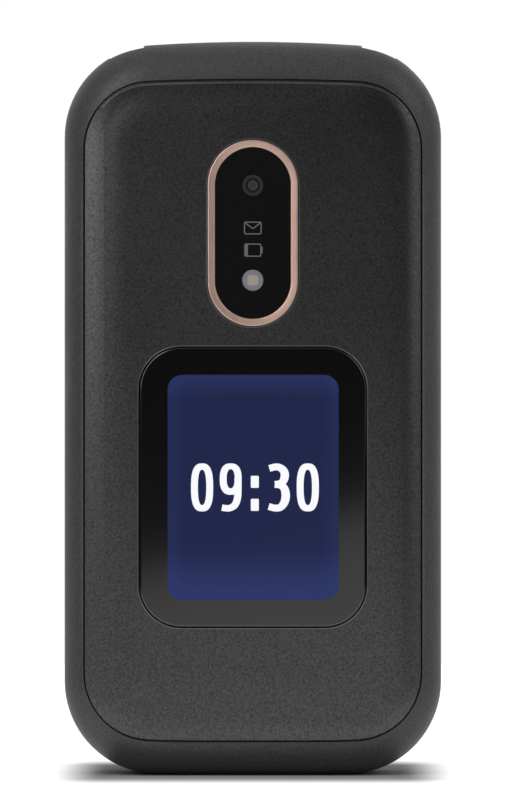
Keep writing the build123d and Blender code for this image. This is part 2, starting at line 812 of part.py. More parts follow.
def make_sim_socket():
    x_low, x_high, y_low, y_high, z_low, z_high = sim_box(0)
    body = block(x_low, x_high, y_low, y_high, z_low, z_high)
    return body - block(x_low + 1, x_high - 1, y_low + 0.25, y_high - 0.25, z_low + 0.8, z_high + 1)


def make_battery():
    half_x, half_z = battery_width / 2, battery_height / 2
    body = block(-half_x, half_x, battery_y, battery_y + battery_thick, battery_z - half_z, battery_z + half_z)
    return fillet(body.edges().filter_by(Axis.Z), 1.2)


def make_battery_contacts():
    x_low, x_high, y_low, y_high, z_low, z_high = contact_box(0)
    body = block(x_low, x_high, y_low, y_high, z_low, z_high)
    for place in (-3, 0, 3):
        body += block(place - 0.5, place + 0.5, battery_y + 0.8, battery_y + 2.0, z_low - 0.15, z_low)
    return body


def make_battery_cover():
    cover = base_form(0) - base_form(cover_thick)
    cover &= slab(cover_outline(-seam / 2), board_back, back_y + 1)
    return fillet(rim_edges(cover, 1), rim_round)


def make_usb_port():
    middle = board_back + 0.05 + usb_height / 2
    shell = extrude(RectangleRounded(usb_width, usb_height, 0.6), amount=usb_depth)
    shell -= Pos(0, 0, -0.1) * extrude(Rectangle(usb_width - 0.6, usb_height - 0.6), amount=usb_depth - 0.8)
    shell += Pos(0, 0.35, 0.6) * extrude(Rectangle(usb_width - 2.4, 0.5), amount=usb_depth - 0.6)
    return Pos(0, middle, port_sink) * shell & base_form(port_sink)


def make_headset_jack():
    edge_x = width / 2 - 0.75
    half = jack_radius + jack_nose
    body = block(edge_x - jack_length, edge_x - 1.2, board_back + 0.05, board_back + 4.7, jack_z - half, jack_z + half)
    body &= base_form(wall + 0.1)
    body += jack_rod(half, edge_x - 2, width) & base_form(port_sink)
    return body - jack_rod(jack_radius, edge_x - jack_length + 0.6, width)


def make_loudspeaker():
    high = back_y - wall - 0.1
    face = soft_rectangle(0, speaker_z, speaker_width, speaker_height, 2.4)
    body = slab(face, high - speaker_thick, high)
    return body - slab(soft_rectangle(0, speaker_z, speaker_width - 3, speaker_height - 3, 1.4), high - 0.4, high + 1)


def make_microphone():
    return rod(microphone_x, microphone_z, 2.0, deck_back + 0.1, board_y - 0.05)


def make_vibration_motor():
    return rod(motor_x, jack_z, motor_radius, board_back + 0.05, board_back + 0.05 + motor_thick)


def make_antenna():
    skin = base_form(wall + 0.1) - base_form(wall + 1.1)
    skin &= block(-antenna_half, antenna_half, board_back + 1, back_y, axis_z - 1.5, reach)
    return skin - axle(sweep_radius + hinge_wall + 0.1, -wide, wide)


def make_charging_contacts():
    return Compound(children=[contact_pin(side, contact_radius, 0.2, contact_length) for side in (-1, 1)])


def make_base_screws():
    head_y = back_y - base_head_depth + glue_gap
    return Compound(children=[screw(x, z, head_y, deck_y + 0.7) for x, z in base_screws_at()])


def make_side_key_switch():
    x_high = -width / 2 + switch_inset
    low, high = volume_span(0)
    strip = block(x_high - 0.3, x_high, low - 0.8, high, volume_z - switch_half, volume_z + switch_half)
    for side in (-1, 1):
        z = volume_z + side * 5
        strip += block(x_high - 0.65, x_high - 0.3, low + 0.4, high - 0.4, z - 1.2, z + 1.2)
    return strip


def make_volume_rocker():
    low, high = volume_span(0)
    half = volume_length / 2
    cap = block(-width / 2, -width / 2 + wall + 0.35, low, high, volume_z - half, volume_z + half)
    cap = fillet(cap.faces().sort_by(Axis.X)[0].outer_wire().edges(), 0.35)
    flange = block(-width / 2 + wall + 0.2, -width / 2 + wall + 0.55, low - 0.35, high + slide_gap,
                   volume_z - 3, volume_z + 3)
    return cap + flange


def make_hinge_shaft():
    """Cam shaft, keyed in the left ear and turned in the cartridge."""
    return axle(pin_radius, -ear_out + 0.9, cartridge_length - barrel_half - 2.2)


def make_hinge_pin():
    return axle(pin_radius, barrel_half - pin_reach, ear_out - 0.9)


nodes = {
    "lid_outer_shell": make_lid_outer_shell(),
    "lid_front_panel": make_lid_front_panel(),
    "outer_display_window": make_outer_display_window(),
    "outer_display_module": make_outer_display_module(),
    "camera_trim_ring": make_camera_trim_ring(),
    "camera_window": make_camera_window(),
    "camera_module": make_camera_module(),
    "flash_led": make_flash_led(),
    "indicator_light_guide": make_indicator_light_guide(),
    "lid_board": make_lid_board(),
    "lid_inner_cover": make_lid_inner_cover(),
    "main_display_lens": make_main_display_lens(),
    "main_display_module": make_main_display_module(),
    "earpiece": make_earpiece(),
    "earpiece_grille": make_earpiece_grille(),
    "lid_screws": make_lid_screws(),
    "lid_bumpers": make_lid_bumpers(),
    "lid_magnet": make_lid_magnet(),
    "hinge_cartridge": make_hinge_cartridge(),
    "base_front_cover": make_base_front_cover(),
    "base_rear_housing": make_base_rear_housing(),
    "keypad_mat": make_keypad_mat(),
    "main_board": make_main_board(),
    "board_shields": make_board_shields(),
    "sim_socket": make_sim_socket(),
    "battery": make_battery(),
    "battery_contacts": make_battery_contacts(),
    "battery_cover": make_battery_cover(),
    "usb_port": make_usb_port(),
    "headset_jack": make_headset_jack(),
    "loudspeaker": make_loudspeaker(),
    "microphone": make_microphone(),
    "vibration_motor": make_vibration_motor(),
    "antenna": make_antenna(),
    "charging_contacts": make_charging_contacts(),
    "base_screws": make_base_screws(),
    "side_key_switch": make_side_key_switch(),
    "volume_rocker": make_volume_rocker(),
    "hinge_shaft": make_hinge_shaft(),
    "hinge_pin": make_hinge_pin(),
    "navigation_rocker": make_navigation_rocker(),
}
for name, place in {**number_keys(), **function_keys()}.items():
    nodes[name] = make_key(place)

os.makedirs("parts", exist_ok=True)
for name, shape in nodes.items():
    export_step(shape, f"parts/{name}.step")
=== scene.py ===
import math

import bpy
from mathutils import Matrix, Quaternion, Vector


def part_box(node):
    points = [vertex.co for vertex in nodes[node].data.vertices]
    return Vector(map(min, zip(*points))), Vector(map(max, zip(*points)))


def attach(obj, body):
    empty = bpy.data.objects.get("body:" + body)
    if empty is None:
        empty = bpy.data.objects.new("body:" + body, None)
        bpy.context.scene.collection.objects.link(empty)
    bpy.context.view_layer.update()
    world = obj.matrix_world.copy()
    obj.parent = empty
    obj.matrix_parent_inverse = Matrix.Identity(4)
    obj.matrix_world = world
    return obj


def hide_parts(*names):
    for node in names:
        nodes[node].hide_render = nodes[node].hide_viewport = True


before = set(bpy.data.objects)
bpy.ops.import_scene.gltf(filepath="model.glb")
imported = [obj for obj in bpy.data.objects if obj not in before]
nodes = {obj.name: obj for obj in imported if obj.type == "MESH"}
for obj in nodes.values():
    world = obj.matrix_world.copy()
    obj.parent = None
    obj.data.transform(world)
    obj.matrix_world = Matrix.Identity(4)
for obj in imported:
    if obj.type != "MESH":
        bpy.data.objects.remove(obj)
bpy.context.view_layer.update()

# A closed flip phone, dressed: paints on the CAD's nodes, thin marks and legends on their faces
# and a rounded trim ring in place of the plain one, on a pale floor under soft lamps.
# Places and sizes are in millimetres, and times mm in metres.
scene = bpy.context.scene
mm = 0.001

# ---- Photograph's framing: 521 x 800, the phone's middle and foot in its pixels ----
picture_width, picture_height = 521, 800
phone_middle_px, phone_foot_px = 252.85, 774.4
mm_per_px = 0.14878
camera_distance = 1.0       # metres, from the plane in which that scale holds
silhouette_y = -4 * mm      # the plane


# ---- Node helpers ----
class Graph:
    """A node tree with short calls to add nodes to it."""

    def __init__(self, tree):
        self.tree = tree
        self.coords = None

    def add(self, kind, **values):
        """A node. A value goes to the input of its name, or else to the node's own setting."""
        node = self.tree.nodes.new(kind)
        for key, value in values.items():
            if key in node.inputs:
                node.inputs[key].default_value = value
            else:
                setattr(node, key, value)
        return node

    def link(self, out, into):
        self.tree.links.new(out, into)

    def place(self, kind="Object"):
        if self.coords is None:
            self.coords = self.add("ShaderNodeTexCoord")
        return self.coords.outputs[kind]

    def along(self, axis, kind="Object"):
        """One coordinate of the place."""
        split = self.add("ShaderNodeSeparateXYZ")
        self.link(self.place(kind), split.inputs["Vector"])
        return split.outputs[axis]

    def run(self, *steps):
        """Vector steps that start from the place; LENGTH makes a number of it."""
        value = self.place()
        for operation, vector in steps:
            node = self.add("ShaderNodeVectorMath", operation=operation)
            self.link(value, node.inputs[0])
            if vector:
                node.inputs[1].default_value = vector
            value = node.outputs["Value" if operation == "LENGTH" else "Vector"]
        return value

    def math(self, operation, *terms, clamp=False):
        """A math node fed by links and numbers."""
        node = self.add("ShaderNodeMath", operation=operation, use_clamp=clamp)
        for index, term in enumerate(terms):
            if isinstance(term, (int, float)):
                node.inputs[index].default_value = term
            else:
                self.link(term, node.inputs[index])
        return node.outputs[0]

    def spread(self, value, low, high, from_low=0.3, from_high=0.7, **settings):
        """Bring a value from its own range, which is a noise's by default, to low and high."""
        ends = {"From Min": from_low, "From Max": from_high, "To Min": low, "To Max": high}
        node = self.add("ShaderNodeMapRange", **ends, **settings)
        self.link(value, node.inputs["Value"])
        return node.outputs["Result"]

    def fade(self, value, start, end, amount=1.0):
        """A soft rise from 0 at the start to the amount at the end."""
        return self.spread(value, 0.0, amount, start, end, interpolation_type="SMOOTHSTEP")

    def blend(self, value, dark, light):
        """A colour between two colours."""
        node = self.add("ShaderNodeMix", data_type="RGBA")
        ends = [socket for socket in node.inputs if socket.type == "RGBA"]
        ends[0].default_value, ends[1].default_value = (*dark, 1.0), (*light, 1.0)
        self.link(value, node.inputs["Factor"])
        return [socket for socket in node.outputs if socket.type == "RGBA"][0]

    def mix(self, factor, first, second):
        """A number between two numbers or links."""
        node = self.add("ShaderNodeMix")
        self.link(factor, node.inputs["Factor"])
        for key, term in (("A", first), ("B", second)):
            if isinstance(term, float):
                node.inputs[key].default_value = term
            else:
                self.link(term, node.inputs[key])
        return node.outputs["Result"]


class Shader(Graph):
    """A material with a Principled shader."""

    def __init__(self, name, colour, rough, metal=0.0, **sockets):
        self.material = bpy.data.materials.new(name)
        self.material.use_nodes = True
        super().__init__(self.material.node_tree)
        self.principled = self.tree.nodes["Principled BSDF"]
        self.put("Base Color", (*colour, 1.0))
        self.put("Roughness", rough)
        self.put("Metallic", metal)
        for socket, value in sockets.items():
            self.put(socket.replace("_", " "), value)

    def put(self, socket, value):
        self.principled.inputs[socket].default_value = value

    def feed(self, socket, value):
        self.link(value, self.principled.inputs[socket])

    def noise(self, size_mm, detail=3.0, rough=0.6, stretch=None):
        node = self.add("ShaderNodeTexNoise", Scale=1 / (size_mm * mm), Detail=detail,
                        Roughness=rough)
        source = self.place()
        if stretch:
            mapping = self.add("ShaderNodeMapping", Scale=stretch)
            self.link(source, mapping.inputs["Vector"])
            source = mapping.outputs["Vector"]
        self.link(source, node.inputs["Vector"])
        return node.outputs["Fac"]

    def bump(self, height, strength, depth_mm, over=None):
        """Bump the surface, on top of another bump's normal where one is given."""
        node = self.add("ShaderNodeBump", Strength=strength, Distance=depth_mm * mm)
        self.link(height, node.inputs["Height"])
        if over is not None:
            self.link(over, node.inputs["Normal"])
        self.feed("Normal", node.outputs["Normal"])

    def tint(self, noise, colour, dark, light):
        """Vary the base colour between two shares of a colour."""
        self.feed("Base Color", self.blend(self.spread(noise, 0.0, 1.0), scaled(colour, dark),
                                           scaled(colour, light)))

    def crown(self, middle, half, corner, fall, rise, turn):
        """Normal of a face that falls away softly all round its rounded outline, and rises again
        at its rim on the left. Millimetres: fall and rise are (width, depth, power), and turn is
        half the width of the change from left to right."""
        straight = (half[0] - corner, no_limit, half[1] - corner)
        past = self.run(("SUBTRACT", [c * mm for c in middle]), ("ABSOLUTE", None),
                        ("SUBTRACT", [c * mm for c in straight]), ("MAXIMUM", (0, 0, 0)),
                        ("LENGTH", None))
        bends = []
        for width, depth, power in (fall, rise):
            near = self.spread(past, 0.0, 1.0, (corner - width) * mm, corner * mm)
            bends.append(self.math("MULTIPLY", self.math("POWER", near, power), depth))
        left = self.spread(self.along("X"), 1.0, 0.0, -turn * mm, turn * mm)
        height = self.math("SUBTRACT", self.math("MULTIPLY", bends[1], left), bends[0])
        node = self.add("ShaderNodeBump", Strength=1.0, Distance=mm)
        self.link(height, node.inputs["Height"])
        return node.outputs["Normal"]

    def glow(self, value, dark, light):
        """Light of a screen, from one colour to another."""
        self.feed("Emission Color", self.blend(value, dark, light))
        self.put("Emission Strength", 1.0)


# ---- Materials ----
wear_mm, smear_mm, brush_mm = 14, 9, 0.12       # grain of worn patches, smears, brushed lines
sanding, brushing = 0.35, 0.2                   # strength of the bumps
no_limit = 1000                                 # half size along which an outline has no end


def scaled(colour, factor):
    return tuple(channel * factor for channel in colour)


def grained_plastic(name, colour, rough, grain_mm=0.22, speckle=0.35, depth=0.02, handled=0.06,
                    metal=0.0, crown=None):
    """Moulded or painted plastic with a fine speckle, a sanded bump and hand-worn gloss."""
    shader = Shader(name, colour, rough, metal)
    grain = shader.noise(grain_mm, rough=0.8)
    shader.tint(grain, colour, 1 - speckle, 1 + speckle)
    worn = shader.noise(wear_mm)
    shader.feed("Roughness", shader.spread(worn, rough - handled, rough + handled))
    shader.bump(grain, sanding, depth, shader.crown(**crown) if crown else None)
    return shader.material


def gloss_plastic(name, colour, rough, smear=0.03, **sockets):
    """Polished plastic with faint smears."""
    shader = Shader(name, colour, rough, **sockets)
    smears = shader.noise(smear_mm, detail=4.0, rough=0.65, stretch=(1.0, 1.0, 0.5))
    shader.feed("Roughness", shader.spread(smears, rough, rough + smear))
    return shader.material


def brushed_metal(name, colour, rough, metal=1.0):
    """Metal with fine upright lines."""
    shader = Shader(name, colour, rough, metal)
    lines = shader.noise(brush_mm, stretch=(1.0, 1.0, 0.04))
    shader.feed("Roughness", shader.spread(lines, rough - 0.06, rough + 0.08))
    shader.tint(lines, colour, 0.93, 1.05)
    shader.bump(lines, brushing, 0.004)
    return shader.material


def glowing(name, colour, rough=0.1):
    """A lit mark: it shows its own colour and keeps the gloss of the glass over it."""
    shader = Shader(name, (0.02, 0.02, 0.02), rough, Specular_IOR_Level=0.08)
    shader.put("Emission Color", (*colour, 1.0))
    shader.put("Emission Strength", 1.0)
    return shader.material


def dark_screen(name):
    return Shader(name, (0.001, 0.001, 0.002), 0.2, Specular_IOR_Level=0.05)


panel_crown = {"middle": (0, 0, 52.4), "half": (24.9, 50.7), "corner": 10.0,
               "fall": (6.4, 0.93, 2.0), "rise": (4.2, 0.72, 3.0), "turn": 10}
shell_paint = grained_plastic("shell_paint", (0.062, 0.062, 0.063), 0.52, grain_mm=0.32,
                              speckle=0.42, metal=0.45)
panel_paint = grained_plastic("panel_paint", (0.075, 0.075, 0.076), 0.41, grain_mm=0.32,
                              speckle=0.48, metal=1.0, handled=0.015, crown=panel_crown)
base_plastic = grained_plastic("base_plastic", (0.030, 0.030, 0.032), 0.55, grain_mm=0.3,
                               speckle=0.2, depth=0.03)
door_plastic = grained_plastic("door_plastic", (0.034, 0.034, 0.036), 0.60, grain_mm=0.45,
                               speckle=0.2, depth=0.06)
key_plastic = grained_plastic("key_plastic", (0.022, 0.022, 0.024), 0.38, grain_mm=0.3,
                              speckle=0.15)
rubber = grained_plastic("rubber", (0.018, 0.018, 0.018), 0.75, grain_mm=0.3, speckle=0.2,
                         depth=0.03)
black_resin = grained_plastic("black_resin", (0.015, 0.015, 0.015), 0.5)
solder_mask = grained_plastic("solder_mask", (0.015, 0.075, 0.04), 0.35, grain_mm=0.8,
                              speckle=0.15)
silicone = grained_plastic("silicone", (0.45, 0.45, 0.43), 0.55, grain_mm=0.5, speckle=0.05)
battery_wrap = grained_plastic("battery_wrap", (0.09, 0.09, 0.10), 0.4, grain_mm=0.8, speckle=0.1)
# lighter paints for thin strips on the lid: painted highlights along the rims of its face and round
# the pieces let into it
seat_highlight = grained_plastic("seat_highlight", (0.13, 0.13, 0.13), 0.4, grain_mm=0.3, speckle=0.3,
                            metal=0.7)
edge_highlight = grained_plastic("edge_highlight", (0.26, 0.26, 0.26), 0.4, grain_mm=0.3, speckle=0.3,
                            metal=1.0)
rim_highlight = grained_plastic("rim_highlight", (0.10, 0.10, 0.10), 0.5, grain_mm=0.3, speckle=0.3,
                           metal=0.5)
legend_ink = grained_plastic("legend_ink", (0.62, 0.62, 0.60), 0.5, grain_mm=0.3, speckle=0.06,
                             depth=0.004)
call_green = grained_plastic("call_green", (0.03, 0.42, 0.08), 0.45, grain_mm=0.3, speckle=0.08,
                             depth=0.004)
end_red = grained_plastic("end_red", (0.55, 0.025, 0.02), 0.45, grain_mm=0.3, speckle=0.08,
                          depth=0.004)
window_gloss = gloss_plastic("window_gloss", (0.0035, 0.0035, 0.004), rough=0.13, smear=0.015,
                             Specular_IOR_Level=0.8)
camera_gloss = gloss_plastic("camera_gloss", (0.0075, 0.0075, 0.0075), rough=0.10, smear=0.02)
lens_gloss = gloss_plastic("lens_gloss", (0.005, 0.005, 0.006), rough=0.05, smear=0.02,
                           Specular_IOR_Level=0.25)
lens_grey = gloss_plastic("lens_grey", (0.026, 0.026, 0.027), rough=0.35, smear=0.05)
lens_dark = gloss_plastic("lens_dark", (0.012, 0.012, 0.013), rough=0.25)
lens_light = gloss_plastic("lens_light", (0.060, 0.060, 0.064), rough=0.3)
flash_lens = gloss_plastic("flash_lens", (0.23, 0.235, 0.265), rough=0.3)
flash_core = gloss_plastic("flash_core", (0.42, 0.36, 0.31), rough=0.4)
rose_metal = brushed_metal("rose_metal", (0.68, 0.465, 0.38), rough=0.42, metal=0.7)
steel = brushed_metal("steel", (0.5, 0.5, 0.51), rough=0.3)
dark_steel = brushed_metal("dark_steel", (0.2, 0.2, 0.21), rough=0.35)
gold = brushed_metal("gold", (0.83, 0.6, 0.28), rough=0.25)
digit_white = glowing("digit_white", (0.94, 0.95, 0.98))
icon_grey = glowing("icon_grey", (0.105, 0.105, 0.105), rough=0.3)
bar_dark = glowing("bar_dark", (0.006, 0.008, 0.025))

# every node that isn't named here is a key
materials = {
    "lid_outer_shell": shell_paint, "lid_front_panel": panel_paint,
    "lid_inner_cover": base_plastic, "outer_display_window": window_gloss,
    "outer_display_module": lens_gloss, "camera_trim_ring": rose_metal,
    "camera_window": camera_gloss, "camera_module": lens_gloss, "flash_led": flash_lens,
    "indicator_light_guide": silicone, "lid_board": solder_mask, "main_display_lens": lens_gloss,
    "main_display_module": lens_gloss, "earpiece": black_resin, "earpiece_grille": dark_steel,
    "lid_screws": dark_steel, "lid_bumpers": rubber, "lid_magnet": steel,
    "hinge_cartridge": steel, "hinge_shaft": steel, "hinge_pin": steel,
    "base_front_cover": base_plastic, "base_rear_housing": shell_paint,
    "battery_cover": door_plastic, "keypad_mat": silicone, "main_board": solder_mask,
    "board_shields": steel, "sim_socket": steel, "battery": battery_wrap,
    "battery_contacts": gold, "usb_port": steel, "headset_jack": black_resin,
    "loudspeaker": black_resin, "microphone": steel, "vibration_motor": steel,
    "antenna": black_resin, "charging_contacts": gold, "base_screws": dark_steel,
    "side_key_switch": black_resin, "volume_rocker": shell_paint,
    "navigation_rocker": key_plastic,
}
for name, node in nodes.items():
    chosen = materials.get(name, key_plastic)
    for entry in node.material_slots:
        entry.link = "OBJECT"
        entry.material = chosen


# ---- Outlines: points (x, z), paths (x, z, width) ----
def rounded_points(x, z, size_x, size_z, radius, steps=8):
    points = []
    for corner, (sx, sz) in enumerate(((1, 1), (-1, 1), (-1, -1), (1, -1))):
        cx, cz = x + sx * (size_x / 2 - radius), z + sz * (size_z / 2 - radius)
        for step in range(steps + 1):
            angle = math.radians(90 * corner + 90 * step / steps)
            points.append((cx + radius * math.cos(angle), cz + radius * math.sin(angle)))
    return points


def circle_points(x, z, radius, steps=40):
    angles = [2 * math.pi * i / steps for i in range(steps)]
    return [(x + radius * math.cos(angle), z + radius * math.sin(angle)) for angle in angles]


def ellipse_points(x, z, half_x, half_z, power, steps=56):
    """Outline between an ellipse and a rectangle."""
    points = []
    for i in range(steps):
        c, s = math.cos(2 * math.pi * i / steps), math.sin(2 * math.pi * i / steps)
        across = math.copysign(abs(c) ** (2 / power), c)
        up = math.copysign(abs(s) ** (2 / power), s)
        points.append((x + half_x * across, z + half_z * up))
    return points


def stroke_points(path):
    """Outline of a stroke along an open path."""
    left, right = [], []
    for i, (x, z, width) in enumerate(path):
        before, after = path[max(i - 1, 0)], path[min(i + 1, len(path) - 1)]
        along = Vector((after[0] - before[0], after[1] - before[1])).normalized()
        side = Vector((-along.y, along.x)) * width / 2
        left.append((x + side.x, z + side.y))
        right.append((x - side.x, z - side.y))
    return right + left[::-1]


def smooth_line(path, steps=6):
    """A smooth path through the points of a rough one."""
    ends = [path[0]] + path + [path[-1]]
    line = []
    for around in zip(ends, ends[1:], ends[2:], ends[3:]):
        for step in range(steps):
            t = step / steps
            line.append(tuple(
                0.5 * (2 * q + (r - p) * t + (2 * p - 5 * q + 4 * r - s) * t**2
                       + (3 * q - p - 3 * r + s) * t**3)
                for p, q, r, s in zip(*around)))
    line.append(path[-1])
    return line


# ---- Thin marks laid on a face ----
def add_mesh(name, corners, faces, material):
    mesh = bpy.data.meshes.new(name)
    mesh.from_pydata([tuple(c * mm for c in corner) for corner in corners], [], faces)
    mesh.update()
    piece = bpy.data.objects.new(name, mesh)
    scene.collection.objects.link(piece)
    mesh.materials.append(material)
    return piece


def plate(name, points, y_front, y_back, material, body):
    """A thin plate with an outline in X and Z."""
    count = len(points)
    if y_front > y_back:
        points = points[::-1]
    corners = [(x, y_front, z) for x, z in points] + [(x, y_back, z) for x, z in points]
    faces = [tuple(range(count)), tuple(range(2 * count - 1, count - 1, -1))]
    for i in range(count):
        j = (i + 1) % count
        faces.append((i, i + count, j + count, j))
    piece = add_mesh(name, corners, faces, material)
    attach(piece, body)
    return piece


def ring(name, outer, inner, y_front, y_back, material, body):
    """A flat ring between two outlines of equal point counts."""
    count = len(outer)
    back = 2 * count
    if y_front > y_back:
        outer, inner = outer[::-1], inner[::-1]
    corners = []
    for y in (y_front, y_back):
        corners += [(x, y, z) for x, z in outer] + [(x, y, z) for x, z in inner]
    faces = []
    for i in range(count):
        j = (i + 1) % count
        faces.append((i, i + count, j + count, j))
        faces.append((i + back, j + back, j + back + count, i + back + count))
        faces.append((i, j, j + back, i + back))
        faces.append((i + count, i + back + count, j + back + count, j + count))
    piece = add_mesh(name, corners, faces, material)
    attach(piece, body)
    return piece


def face_of(node, side=0):
    """Y of a node's face: 0 is its front, 1 its back."""
    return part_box(node)[side][1] / mm


def middle_of(node):
    """Middle of a node in X and Z."""
    low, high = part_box(node)
    return (low[0] + high[0]) / 2 / mm, (low[2] + high[2]) / 2 / mm


# ---- Outer display ----
window_front = face_of("outer_display_window")
screen_x, screen_z, screen_width, screen_height, screen_corner = 0.05, 42.78, 25.3, 33.3, 2.2
film = 0.012                # thickness of the lit picture, and of the figures on it
screen_y = window_front - film
digit_y = screen_y - film
digit_step = 0.003          # by which a figure's second piece stands before its first
clock = (("0", -7.5), ("9", -3.27), ("3", 3.85), ("0", 8.13))
dots_x, dots_z, dot_width, dot_height, dot_corner = 0.3, (43.6, 40.2), 1.18, 1.78, 0.15


def screen_material():
    """Backlit blue, a little brighter along the sides and the top and more so at the foot."""
    shader = dark_screen("outer_screen")
    left, right = screen_x - screen_width / 2, screen_x + screen_width / 2
    foot, top = screen_z - screen_height / 2, screen_z + screen_height / 2
    total = 0.0
    for axis, start, end, amount in (("X", right - 3, right, 0.3), ("X", left + 3, left, 0.3),
                                     ("Z", top - 4, top, 0.6), ("Z", foot + 9, foot, 1.0)):
        edge = shader.fade(shader.along(axis), start * mm, end * mm, amount)
        total = shader.math("ADD", total, edge, clamp=True)
    shader.glow(total, (0.0150, 0.0200, 0.066), (0.0250, 0.0370, 0.132))
    return shader.material


plate("outer_screen",
      rounded_points(screen_x, screen_z, screen_width, screen_height, screen_corner), screen_y,
      window_front, screen_material(), "lid")

# condensed bold figures, 7.1 mm high, about their own middles
digit_rings = {             # outer and inner outline: height above the middle, half sizes, power
    "0": ((0, 1.64, 3.55, 2.7), (0, 0.62, 2.62, 2.4)),
    "9": ((1.23, 1.62, 2.32, 2.5), (1.28, 0.6, 1.42, 2.3)),
}
digit_strokes = {           # name, steps to the front, path
    "9": [("tail", 1, [(1.08, 1.4, 1.06), (1.08, -0.4, 1.06), (1.0, -1.6, 1.06),
                       (0.62, -2.6, 1.02), (-0.1, -3.05, 0.96), (-0.7, -3.08, 0.94),
                       (-1.3, -2.98, 0.94)])],
    "3": [("upper", 0, [(-1.4, 2.8, 1.0), (-0.6, 3.02, 1.0), (0.1, 2.95, 1.05),
                        (0.72, 2.45, 1.16), (0.88, 1.75, 1.24), (0.66, 0.95, 1.14),
                        (0.1, 0.55, 1.0), (-0.6, 0.46, 0.96)]),
          ("lower", 1, [(-0.6, 0.42, 0.96), (0.2, 0.32, 1.0), (0.8, -0.15, 1.16),
                        (1.02, -1.2, 1.26), (0.8, -2.25, 1.18), (0.2, -2.95, 1.05),
                        (-0.6, -3.05, 1.0), (-1.5, -2.82, 1.0)])],
}
for place, (character, x) in enumerate(clock):
    name = f"clock_{place}"
    if character in digit_rings:
        outer, inner = [ellipse_points(x, screen_z + up, half_x, half_z, power)
                        for up, half_x, half_z, power in digit_rings[character]]
        ring(name, outer, inner, digit_y, screen_y, digit_white, "lid")
    for part, step, path in digit_strokes.get(character, ()):
        path = smooth_line([(x + across, screen_z + up, width) for across, up, width in path])
        plate(f"{name}_{part}", stroke_points(path), digit_y - step * digit_step, screen_y,
              digit_white, "lid")
for place, z in enumerate(dots_z):
    plate(f"clock_dot_{place}", rounded_points(dots_x, z, dot_width, dot_height, dot_corner, 3),
          digit_y, screen_y, digit_white, "lid")

# ---- Camera trim ----
trim_low, trim_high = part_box("camera_trim_ring")
trim_half_x, trim_half_z = trim_high[0] / mm, (trim_high[2] - trim_low[2]) / 2 / mm
trim_z = (trim_high[2] + trim_low[2]) / 2 / mm
trim_width = 1.05
trim_fall, trim_round = 0.20, 0.08      # of its face towards the window, and of both its edges
trim_bulge = 8                          # power of the rounding: the higher, the nearer the edge
trim_steps, corner_steps = 12, 24       # across its face, and round a quarter of its outline


def make_trim():
    """The rose ring: its face falls a little towards the window and its edges are rounded."""
    front, back = trim_low[1] / mm, trim_high[1] / mm
    section = [(-trim_width, back)]
    for step in range(trim_steps + 1):
        t = 2 * step / trim_steps - 1
        section.append(((t - 1) * trim_width / 2,
                        front + trim_fall * (1 - t) / 2 + trim_round * abs(t) ** trim_bulge))
    section.append((0.0, back))
    outlines = [rounded_points(0, trim_z, 2 * (trim_half_x + grow), 2 * (trim_half_z + grow),
                               trim_half_x + grow, corner_steps) for grow, _ in section]
    count = len(outlines[0])
    corners = [(x, y, z) for outline, (_, y) in zip(outlines, section) for x, z in outline]
    faces = []
    for level in range(len(section)):
        this, other = level * count, (level + 1) % len(section) * count
        for i in range(count):
            j = (i + 1) % count
            faces.append((this + i, this + j, other + j, other + i))
    piece = add_mesh("trim_ring", corners, faces, rose_metal)
    piece.data.shade_smooth()
    piece.data.set_sharp_from_angle(angle=math.radians(50))
    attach(piece, "lid")
    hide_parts("camera_trim_ring")


make_trim()

# ---- Light lines: painted highlights, thin strips lighter than the lid along the fine rims of its face ----
panel_front = face_of("lid_front_panel")
panel_side, _, panel_top = [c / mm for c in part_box("lid_front_panel")[1]]
# the lid's face is flat inside this outline, and past it follows a rounded edge
lid_round, flat_half, flat_corner, flat_top = 6.0, 22.0, 7.8, 103.0
edge_top, edge_arch, edge_corner = panel_top - 0.37, 800.0, 9.6
edge_half, edge_width, edge_thinning = 15, 0.22, 0.0034     # the last is per degree of the corner
rim_x, rim_low, rim_high = panel_side + 0.42, 16, 92
rim_width, rim_steps, rim_ends = 0.2, 40, 5                 # it thins over so many steps
lip_lift, edge_lift, rim_lift = 0.004, 0.006, 0.012         # of the lines above the panel


def seat_lip(name, node, corner, near, far, rise):
    """A fine lip of the panel round a piece let into it, painted lighter than the panel as a
    painted highlight along the piece's edge. The corner is the piece's own, near and far are the
    lip's distances from it, and its near edge rises."""
    low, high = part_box(node)
    x, z = middle_of(node)
    size_x, size_z = (high[0] - low[0]) / mm, (high[2] - low[2]) / mm
    outer, inner = [rounded_points(x, z, size_x + 2 * grow, size_z + 2 * grow, corner + grow,
                                   corner_steps) for grow in (far, near)]
    lip = ring(name, outer, inner, panel_front - lip_lift, panel_front, seat_highlight, "lid")
    for vertex in lip.data.vertices[len(outer):2 * len(outer)]:
        vertex.co.y -= rise * mm


def follow_lid(piece):
    """Lay a flat plate's points on the lid's face, which falls away towards its rounded edge."""
    for vertex in piece.data.vertices:
        x, _, z = vertex.co / mm
        past = math.hypot(max(abs(x) - flat_half + flat_corner, 0),
                          max(z - flat_top + flat_corner, 0)) - flat_corner
        if past > 0:
            vertex.co.y += (lid_round - math.sqrt(lid_round**2 - past**2)) * mm


def edge_path():
    """Along the panel's arched top edge and round its corners, thinning at both ends."""
    path = [(x, edge_top - x * x / edge_arch, edge_width)
            for x in range(-edge_half, edge_half + 1, 3)]
    for turn in (10, 20, 30, 40, 50):
        angle = math.radians(turn)
        x = edge_half + edge_corner * math.sin(angle)
        z = edge_top - edge_half**2 / edge_arch - edge_corner * (1 - math.cos(angle))
        width = edge_width - edge_thinning * turn
        path = [(-x, z, width)] + path + [(x, z, width)]
    return path


def rim_path(side):
    """Along one side of the shell's opening, thinning at both ends."""
    return [(side * rim_x, rim_low + (rim_high - rim_low) * step / rim_steps,
             rim_width * min(1, (step + 1) / rim_ends, (rim_steps + 1 - step) / rim_ends))
            for step in range(rim_steps + 1)]
